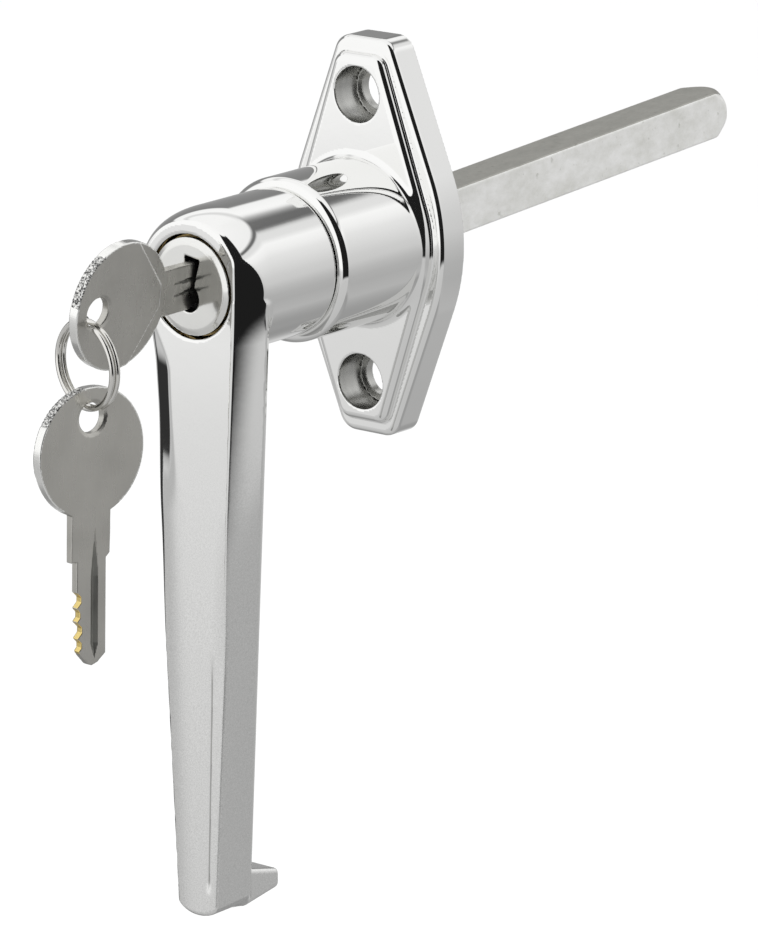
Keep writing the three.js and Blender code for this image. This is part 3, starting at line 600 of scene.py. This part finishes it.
def calc(tree, op, a, b=None):
    """A maths node of one or two outputs or numbers."""
    n = tree.nodes.new("ShaderNodeMath")
    n.operation = op
    feed(tree, n.inputs[0], a)
    if b is not None:
        feed(tree, n.inputs[1], b)
    return n.outputs[0]


def blend(tree, factor, a, b):
    """a where factor is 0, b where it is 1."""
    n = tree.nodes.new("ShaderNodeMix")
    tree.links.new(factor, n.inputs["Factor"])
    feed(tree, n.inputs[2], a)
    feed(tree, n.inputs[3], b)
    return n.outputs[0]


def noise(tree, where, scale, detail=4.0, stretch=None, rough=0.5):
    """Cloudy noise, stretched out along the axes whose stretch is under 1."""
    source = where
    if stretch:
        mapping = tree.nodes.new("ShaderNodeMapping")
        mapping.inputs["Scale"].default_value = stretch
        tree.links.new(where, mapping.inputs["Vector"])
        source = mapping.outputs["Vector"]
    n = tree.nodes.new("ShaderNodeTexNoise")
    n.inputs["Scale"].default_value = scale
    n.inputs["Detail"].default_value = detail
    n.inputs["Roughness"].default_value = rough
    tree.links.new(source, n.inputs["Vector"])
    return n.outputs["Fac"]


def spread(tree, value, low, high, out_low=0.0, out_high=1.0, kind="LINEAR"):
    """value mapped from low..high to out_low..out_high."""
    n = tree.nodes.new("ShaderNodeMapRange")
    n.interpolation_type = kind
    n.inputs["From Min"].default_value = low
    n.inputs["From Max"].default_value = high
    n.inputs["To Min"].default_value = out_low
    n.inputs["To Max"].default_value = out_high
    tree.links.new(value, n.inputs["Value"])
    return n.outputs["Result"]


def tint(tree, value, dark, light):
    """The colour dark where value is 0, light where it is 1."""
    n = tree.nodes.new("ShaderNodeMix")
    n.data_type = "RGBA"
    n.clamp_factor = False
    tree.links.new(value, n.inputs["Factor"])
    n.inputs[6].default_value = (*dark, 1)
    n.inputs[7].default_value = (*light, 1)
    return n.outputs[2]


def bump(tree, shader, height, strength, distance):
    """Roughens the shader's normals by height."""
    n = tree.nodes.new("ShaderNodeBump")
    n.inputs["Strength"].default_value = strength
    n.inputs["Distance"].default_value = distance
    tree.links.new(height, n.inputs["Height"])
    tree.links.new(n.outputs["Normal"], shader.inputs["Normal"])


def place(tree):
    """The place on the piece, in metres."""
    return tree.nodes.new("ShaderNodeTexCoord").outputs["Object"]


def shades(colour, dark, light):
    """A darker and a lighter version of a colour."""
    return tuple(c * dark for c in colour), tuple(min(1, c * light) for c in colour)


def chrome_material(name, colour=(0.9, 0.9, 0.89), rough=(0.015, 0.045), grain=0.05):
    """Bright plating with faint smudges and a fine ripple."""
    m, tree, shader = new_material(name, 1.0, 0.05, colour)
    at = place(tree)
    smudge = noise(tree, at, 55, 5)
    tree.links.new(spread(tree, smudge, 0.35, 0.7, *rough), shader.inputs["Roughness"])
    tone = tint(tree, noise(tree, at, 35, 3), *shades(colour, 0.96, 1.04))
    tree.links.new(tone, shader.inputs["Base Color"])
    bump(tree, shader, noise(tree, at, 260, 3), grain, 0.00006)
    return m


def scratched(name, colour, rough, lines, strength):
    """Machined or worn metal, also used for painted shade and painted highlights: fine lines one way, in gloss and
    depth, over soft blotches of tone.
    """
    m, tree, shader = new_material(name, 1.0, rough, colour)
    at = place(tree)
    streak = noise(tree, at, 900, 2, lines)
    blotch = noise(tree, at, 120, 5)
    tree.links.new(spread(tree, streak, 0.3, 0.7, rough * 0.8, rough * 1.25), shader.inputs["Roughness"])
    tree.links.new(tint(tree, blotch, *shades(colour, 0.82, 1.12)), shader.inputs["Base Color"])
    bump(tree, shader, streak, strength, 0.00004)
    return m


def mottled_zinc(name, colour, metallic):
    """Galvanised steel: soft cloudy patches of tone with small dark specks and a fine grain."""
    m, tree, shader = new_material(name, metallic, 0.44, colour)
    at = place(tree)
    cloud = spread(tree, noise(tree, at, 230, 9, (1, 0.7, 1), 0.72), 0.3, 0.7)
    speck = spread(tree, noise(tree, at, 700, 4), 0.25, 0.34)
    tone = tint(tree, cloud, *shades(colour, 0.82, 1.12))
    pitted = tint(tree, speck, (0.76, 0.76, 0.74), (1, 1, 1))
    mix = tree.nodes.new("ShaderNodeMix")
    mix.data_type = "RGBA"
    mix.blend_type = "MULTIPLY"
    mix.inputs["Factor"].default_value = 1.0
    tree.links.new(tone, mix.inputs[6])
    tree.links.new(pitted, mix.inputs[7])
    tree.links.new(mix.outputs[2], shader.inputs["Base Color"])
    tree.links.new(spread(tree, cloud, 0, 1, 0.5, 0.38), shader.inputs["Roughness"])
    bump(tree, shader, noise(tree, at, 1500, 3), 0.3, 0.00004)
    return m


# the scored line's painted shade, in metres
LINE_X, LINE_SLOPE = 0.0071, 0.033  # x at z = 0, and x per z
LINE_CORE, LINE_EDGE = 0.0001, 0.00026  # half widths of the full line and of its soft edge
LINE_ENDS = ((-0.0715, -0.077), (-0.1195, -0.117))  # z between which each end fades in
LINE_FRONT = -0.057  # the line shows in front of this y
# how far the painted shade darkens the colour on the scored line
LINE_SHADE = 3.6


def painted_score_shade(tree, x, y, z):
    """Painted shade along the scored line down the lower part of the lever's front: the line's darkness on it, 0
    elsewhere.
    """
    middle = calc(tree, "ADD", calc(tree, "MULTIPLY", z, LINE_SLOPE), LINE_X)
    off = calc(tree, "ABSOLUTE", calc(tree, "SUBTRACT", x, middle))
    line = spread(tree, off, LINE_CORE, LINE_EDGE, LINE_SHADE, 0.0)
    for gone, full in LINE_ENDS:
        line = calc(tree, "MULTIPLY", line, spread(tree, z, gone, full))
    return calc(tree, "MULTIPLY", line, calc(tree, "LESS_THAN", y, LINE_FRONT))


def lever_chrome():
    """Bright on the hub, turning to a fine satin down the lever, with the scored line's painted shade on it."""
    m = chrome_material("lever_chrome", grain=0.04)
    tree = m.node_tree
    shader = tree.nodes["Principled BSDF"]
    polish = shader.inputs["Roughness"].links[0].from_socket
    at = place(tree)
    parts = tree.nodes.new("ShaderNodeSeparateXYZ")
    tree.links.new(at, parts.inputs[0])
    down = spread(tree, parts.outputs["Z"], -0.018, -0.065)
    satin = spread(tree, noise(tree, at, 2600, 2), 0.3, 0.7, 0.15, 0.24)
    tree.links.new(blend(tree, down, polish, satin), shader.inputs["Roughness"])
    grain = spread(tree, noise(tree, at, 3200, 3), 0.3, 0.7)
    # the fine grain darkens the colour down the lever, and the scored line is painted darker as shade
    shade = calc(tree, "MAXIMUM", calc(tree, "MULTIPLY", grain, down), painted_score_shade(tree, *parts.outputs))
    tree.links.new(tint(tree, shade, (0.9, 0.9, 0.89), (0.78, 0.78, 0.77)), shader.inputs["Base Color"])
    return m


def speckled_edge():
    """The reeded stretch of a key's rim: bright metal with dark pits."""
    m, tree, shader = new_material("pitted_rim", 1.0, 0.3, (0.7, 0.7, 0.68))
    pits = spread(tree, noise(tree, place(tree), 2300, 3, rough=0.7), 0.42, 0.56)
    tree.links.new(tint(tree, pits, (0.05, 0.05, 0.05), (0.9, 0.9, 0.88)), shader.inputs["Base Color"])
    bump(tree, shader, pits, 0.4, 0.0001)
    return m


CHROME = chrome_material("polished_chrome")
LEVER = lever_chrome()
PLUG_CHROME = chrome_material("plug_face_chrome", (0.82, 0.82, 0.8), (0.08, 0.2), 0.14)
BORE = scratched("machined_bore", (0.56, 0.56, 0.54), 0.26, (0.2, 1, 0.2), 0.6)
# near-black metal painted inside the plug's keyway as shade
RECESS_SHADE = scratched("painted_recess_shade", (0.035, 0.035, 0.035), 0.55, (1, 0.2, 1), 0.3)
ZINC = mottled_zinc("dull_zinc", (0.47, 0.465, 0.43), 1.0)
# a lighter copy of the zinc for the bar's sides, painted light so they show brighter than the top
ZINC_PAINTED_LIT = mottled_zinc("zinc_sides_painted_lit", (0.93, 0.93, 0.885), 0.66)
NICKEL = scratched("satin_nickel", (0.56, 0.55, 0.515), 0.3, (1, 1, 0.15), 0.2)
RIM = speckled_edge()
# darker metal in the key's grooves: painted shade
GROOVE_SHADE = scratched("painted_groove_shade", (0.36, 0.36, 0.335), 0.4, (1, 1, 0.15), 0.3)
# a painted highlight along the coined step's bevel
STEP_HIGHLIGHT = scratched("painted_step_highlight", (0.97, 0.96, 0.93), 0.45, (1, 1, 0.15), 0.2)
# the bow's rim: a polished edge, also made lighter than the nickel as a painted highlight
POLISHED_RIM_HIGHLIGHT = chrome_material("polished_key_edge_painted_highlight", (0.93, 0.93, 0.91), (0.1, 0.22), 0.1)
WIRE = chrome_material("bright_nickel_wire", (0.78, 0.77, 0.74), (0.08, 0.2), 0.1)
STEEL = scratched("plain_steel", (0.5, 0.5, 0.49), 0.35, (1, 1, 0.2), 0.2)
SPRING = scratched("spring_steel", (0.3, 0.3, 0.31), 0.38, (0.2, 1, 1), 0.2)
# brass darkened far below its own colour, as painted shade in the gap round the plug
BRASS_SHADED = scratched("brass_darkened_as_shade", (0.34, 0.25, 0.11), 0.42, (1, 0.2, 1), 0.2)
CUT_BRASS = scratched("fresh_cut_brass", (0.95, 0.72, 0.28), 0.25, (1, 0.2, 1), 0.2)
FINISH = {
    "chrome": CHROME,
    "plug_chrome": PLUG_CHROME,
    "steel": STEEL,
    "galvanised": ZINC,
    "spring": SPRING,
    "brass": BRASS_SHADED,
    "key_nickel": NICKEL,
    "ring_nickel": WIRE,
}
SLOT = {s["node"]: s["material_slot"] for s in frame["record"]["subparts"]}
for name, cad in frame["nodes"].items():
    cad.data.materials.clear()
    cad.data.materials.append(FINISH[SLOT[name]])


def finish_piece(piece, body, cad_node, *extra):
    """Gives a piece its CAD node's finish, then the extra ones, and the node's place in the model."""
    piece.data.materials.clear()
    for material in (FINISH[SLOT[cad_node]], *extra):
        piece.data.materials.append(material)
    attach(piece, body)
    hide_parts(cad_node)


def paint(piece, marks, where=Matrix.Identity(4)):
    """Give each face the material that marks picks from its centre, in mm, before where moved it."""
    mesh = piece.data
    centres = np.empty(len(mesh.polygons) * 3)
    mesh.polygons.foreach_get("center", centres)
    m = np.array(where.inverted())
    centres = (centres.reshape(-1, 3) / MM) @ m[:3, :3].T + m[:3, 3]
    mesh.polygons.foreach_set("material_index", marks(*centres.T).astype(np.int32))


# ---------------------------------------------------------------- pieces
FINE = 1.0
LEVER_SPARE = 0.5  # the visual lever is a little wider than its CAD node
PLUG_HALF = 9.6
KEYWAY_R = 6.9  # radius of the plug's inside, which is painted near black as shade
BAR_REACH = 4.8
KEY_LIFT = 0.4  # the blade's middle line above the plug's axis
EYE_DROP = -1.85  # the spare key's eye below the ring's lower pivot
SPARE_LEAN = math.radians(2.2)


# which faces of a piece take its second material
def in_screw_hole(x, y, z):
    return (length(x, np.abs(z) - SCREW_Z) < COUNTERBORE_R + 0.1) & (y > PLATEAU_FRONT + 0.15)


# the plug's inside, which takes the painted shade
def in_keyway(x, y, z):
    return (length(x, z) < KEYWAY_R) & (y > LOCK_FACE + 0.3)


# the bar's sides, which take the zinc copy painted lighter as light
def on_bar_side(x, y, z):
    return np.abs(x) > np.abs(z)


base = skin("flange_and_boss", base_field, BASE_LOW, BASE_HIGH, 0.34 * FINE)
finish_piece(base, "base", "base_casting", BORE)
paint(base, in_screw_hole)

handle_low = HANDLE_LOW - (LEVER_SPARE, 1, 0)
handle_high = HANDLE_HIGH + (LEVER_SPARE, 0, 0)
handle = skin("lever_handle", handle_field, handle_low, handle_high, 0.37 * FINE)
finish_piece(handle, "handle", "handle_casting")
handle.data.materials[0] = LEVER

clock = Matrix.Rotation(CLOCKING, 4, "Y")
plug_low, plug_high = (-PLUG_HALF, PLUG_LOW[1], -PLUG_HALF), (PLUG_HALF, PLUG_HIGH[1], PLUG_HALF)
plug = skin("key_plug", plug_field, plug_low, plug_high, 0.25 * FINE, clock)
# the plug's inside is painted near black as shade
finish_piece(plug, "plug", "lock_plug", RECESS_SHADE)
paint(plug, in_keyway, clock)


def add_key(name, body, cad_node, where):
    low, high = (-KEY_HALF - 0.1, -BOW_R, -BOW_R), (KEY_HALF + 0.1, TIP, BOW_R)
    piece = skin(name, key_field, low, high, 0.22 * FINE, where)
    # the keys' extra materials include painted shade in the grooves and painted highlights on the rim and coined
    # step
    finish_piece(piece, body, cad_node, RIM, CUT_BRASS, POLISHED_RIM_HIGHLIGHT, GROOVE_SHADE, STEP_HIGHLIGHT)
    paint(piece, key_marks, where)


bow_y = KEY_LOW[1] + BOW_R
add_key("working_key", "key", "key_in_lock", clock @ Matrix.Translation((0, bow_y, KEY_LIFT)))

hang = Matrix.Translation(RING_BOTTOM) @ Matrix.Rotation(RING_YAW, 4, "Z")
spare_turn = Matrix.Rotation(-math.pi / 2 - SPARE_LEAN, 4, "X") @ Matrix.Rotation(math.pi, 4, "Y")
spare_y = EYE_OFFSET * math.sin(SPARE_LEAN)
spare_z = EYE_DROP + EYE_OFFSET * math.cos(SPARE_LEAN)
add_key("hanging_key", "spare", "spare_key", hang @ Matrix.Translation((0, spare_y, spare_z)) @ spare_turn)

pitch = math.asin(spindle_dir[2])
yaw = -math.atan2(spindle_dir[0], spindle_dir[1])
spindle_turn = Matrix.Rotation(yaw, 4, "Z") @ Matrix.Rotation(pitch, 4, "X")
spindle_place = Matrix.Translation(SPINDLE_PIVOT) @ spindle_turn
bar_low, bar_high = (-BAR_REACH, BAR_FRONT, -BAR_REACH), (BAR_REACH, SPINDLE_REAR, BAR_REACH)
spindle = skin("square_bar", spindle_field, bar_low, bar_high, 0.4 * FINE, spindle_place)
# the sides of the bar take the zinc copy painted lighter as light
finish_piece(spindle, "spindle", "square_spindle", ZINC_PAINTED_LIT)
paint(spindle, on_bar_side, spindle_place)

finish_piece(split_ring(), "ring", "split_ring")


# ---------------------------------------------------------------- studio
# directions are azimuth from -Y towards +X and elevation above the horizon, in degrees
world = bpy.data.worlds.new("studio")
bpy.context.scene.world = world
world.use_nodes = True
sky = world.node_tree
sky.nodes.clear()


def soft_step(value, low, high, out_low=0.0, out_high=1.0):
    """spread with soft ends, for the studio."""
    return spread(sky, value, low, high, out_low, out_high, "SMOOTHSTEP")


split = sky.nodes.new("ShaderNodeSeparateXYZ")
sky.links.new(sky.nodes.new("ShaderNodeTexCoord").outputs["Generated"], split.inputs[0])
dx, dy, dz = split.outputs
azimuth = calc(sky, "DEGREES", calc(sky, "ARCTAN2", dx, calc(sky, "MULTIPLY", dy, -1)))
elevation = calc(sky, "DEGREES", calc(sky, "ARCSINE", dz))


def card(az0, az1, el0, el1, edge=2.0):
    """1 inside a sector of the studio, 0 outside."""
    mask = soft_step(azimuth, az0 - edge, az0 + edge)
    mask = calc(sky, "MULTIPLY", mask, soft_step(azimuth, az1 - edge, az1 + edge, 1, 0))
    mask = calc(sky, "MULTIPLY", mask, soft_step(elevation, el0 - edge, el0 + edge))
    return calc(sky, "MULTIPLY", mask, soft_step(elevation, el1 - edge, el1 + edge, 1, 0))


def profile(stops):
    """Brightness by elevation, straight between the stops of (elevation, brightness)."""
    ramp_node = sky.nodes.new("ShaderNodeValToRGB")
    elements = ramp_node.color_ramp.elements
    for i, (el, value) in enumerate(stops):
        stop = elements[i] if i < 2 else elements.new(1.0)
        stop.position = (el + 90) / 180
        stop.color = (value, value, value, 1)
    sky.links.new(calc(sky, "DIVIDE", calc(sky, "ADD", elevation, 90), 180), ramp_node.inputs[0])
    return ramp_node.outputs["Color"]


# the studio's walls, seen in the chrome
BACK_RIGHT = [(-90, 0.45), (-42, 0.32), (-35, 0.46), (-25, 0.42), (-19, 0.44), (-13, 0.5), (-6, 0.6)]
BACK_RIGHT += [(0, 0.63), (13, 0.75), (19, 0.8), (25, 0.9), (31, 0.96), (35, 0.78), (39, 0.76), (40.2, 0.5)]
BACK_RIGHT += [(41, 0.14), (43, 0.16), (46, 0.9), (90, 0.95)]
BACK_LEFT = [(-90, 0.5), (-42, 0.25), (-38, 0.35), (-30, 0.6), (-25, 0.6), (-19, 0.5), (-14, 0.46)]
BACK_LEFT += [(-7, 0.42), (0, 0.33), (5, 0.29), (12, 0.26), (25, 0.22), (27.5, 0.25), (30, 0.92), (39, 0.98)]
BACK_LEFT += [(42, 0.8), (45, 0.7), (50, 0.95), (90, 0.95)]
FRONT = [(-90, 0.5), (-24, 0.56), (-18, 0.62), (-15.5, 0.7), (-14.2, 0.7), (-13, 0.76), (-11.4, 1.0)]
FRONT += [(20, 1.0), (55, 1.0), (90, 0.95)]
# dark cards: azimuths, elevations and softness of the edges, then brightness
CARDS = (
    ((-72, -52, -95, -5, 5), 0.48),
    ((28, 97, -19.8, 75, 1.9), 0.012),
    ((-118, -79, -19.5, -8, 2), 0.03),
)
SKY_STRENGTH = 1.06
level = blend(sky, card(-74, 97, -95, 95, 4), profile(BACK_RIGHT), profile(FRONT))
left_back = calc(sky, "MULTIPLY", soft_step(azimuth, -180, -158), soft_step(azimuth, -82, -66, 1, 0))
level = blend(sky, left_back, level, profile(BACK_LEFT))
for sector, brightness in CARDS:
    level = blend(sky, card(*sector), level, brightness)
glow = sky.nodes.new("ShaderNodeBackground")
glow.inputs["Strength"].default_value = SKY_STRENGTH
sky.links.new(level, glow.inputs["Color"])
plain = sky.nodes.new("ShaderNodeBackground")
plain.inputs["Color"].default_value = (1, 1, 1, 1)
plain.inputs["Strength"].default_value = SKY_STRENGTH
# mirrored rays meet the walls and cards, and all others plain white
path = sky.nodes.new("ShaderNodeLightPath")
mix = sky.nodes.new("ShaderNodeMixShader")
sky.links.new(path.outputs["Is Glossy Ray"], mix.inputs[0])
sky.links.new(plain.outputs[0], mix.inputs[1])
sky.links.new(glow.outputs[0], mix.inputs[2])
sky.links.new(mix.outputs[0], sky.nodes.new("ShaderNodeOutputWorld").inputs[0])

FLOOR_HALF, FLOOR_DROP = 6, 0.35
floor_mesh = bpy.data.meshes.new("floor")
corners = [(i * FLOOR_HALF, j * FLOOR_HALF, 0) for i, j in ((-1, -1), (1, -1), (1, 1), (-1, 1))]
floor_mesh.from_pydata(corners, [], [(0, 1, 2, 3)])
floor = bpy.data.objects.new("floor", floor_mesh)
floor.location.z = cad_low.z - FLOOR_DROP
bpy.context.scene.collection.objects.link(floor)
paper, paper_tree, paper_shader = new_material("white_paper", 0.0, 0.9, (0.93, 0.93, 0.93))
paper_shader.inputs["Specular IOR Level"].default_value = 0.0
tone = tint(paper_tree, noise(paper_tree, place(paper_tree), 3, 2), (0.93, 0.93, 0.93), (0.95, 0.95, 0.95))
paper_tree.links.new(tone, paper_shader.inputs["Base Color"])
floor_mesh.materials.append(paper)
floor.visible_glossy = False

lamp_data = bpy.data.lights.new("softbox", "AREA")
lamp_data.shape = "RECTANGLE"
lamp_data.size, lamp_data.size_y = 0.9, 0.9
lamp_data.energy = 5
lamp = bpy.data.objects.new("softbox", lamp_data)
lamp.location = (-0.7, -0.9, 1.1)
LAMP_AIM = Vector((0.7, 0.9, -1.15))
lamp.rotation_mode = "QUATERNION"
lamp.rotation_quaternion = LAMP_AIM.to_track_quat("-Z", "Y")
lamp.visible_glossy = False
bpy.context.scene.collection.objects.link(lamp)


# ---------------------------------------------------------------- camera
# where the camera stands and what it looks at, from the fit to the photo
AZIMUTH, ELEVATION, ROLL = math.radians(39.795), math.radians(15.248), math.radians(-0.72)
TARGET = Vector((-12.769, 11.754, -54.107)) * MM
DISTANCE = 1.22925
LENS = 232.64
flat = math.cos(ELEVATION)
back = Vector((math.sin(AZIMUTH) * flat, -math.cos(AZIMUTH) * flat, math.sin(ELEVATION)))
right = Vector((math.cos(AZIMUTH), math.sin(AZIMUTH), 0))
up = back.cross(right)
tilted_right = math.cos(ROLL) * right + math.sin(ROLL) * up
tilted_up = math.cos(ROLL) * up - math.sin(ROLL) * right
camera_data = bpy.data.cameras.new("camera")
camera_data.lens = LENS
camera_data.sensor_width = 36
camera_data.clip_start, camera_data.clip_end = 0.05, 50
camera = bpy.data.objects.new("camera", camera_data)
axes = Matrix((tilted_right, tilted_up, back)).transposed().to_4x4()
camera.matrix_world = Matrix.Translation(TARGET + back * DISTANCE) @ axes
bpy.context.scene.collection.objects.link(camera)
bpy.context.scene.camera = camera
bpy.context.scene.view_settings.view_transform = "Standard"
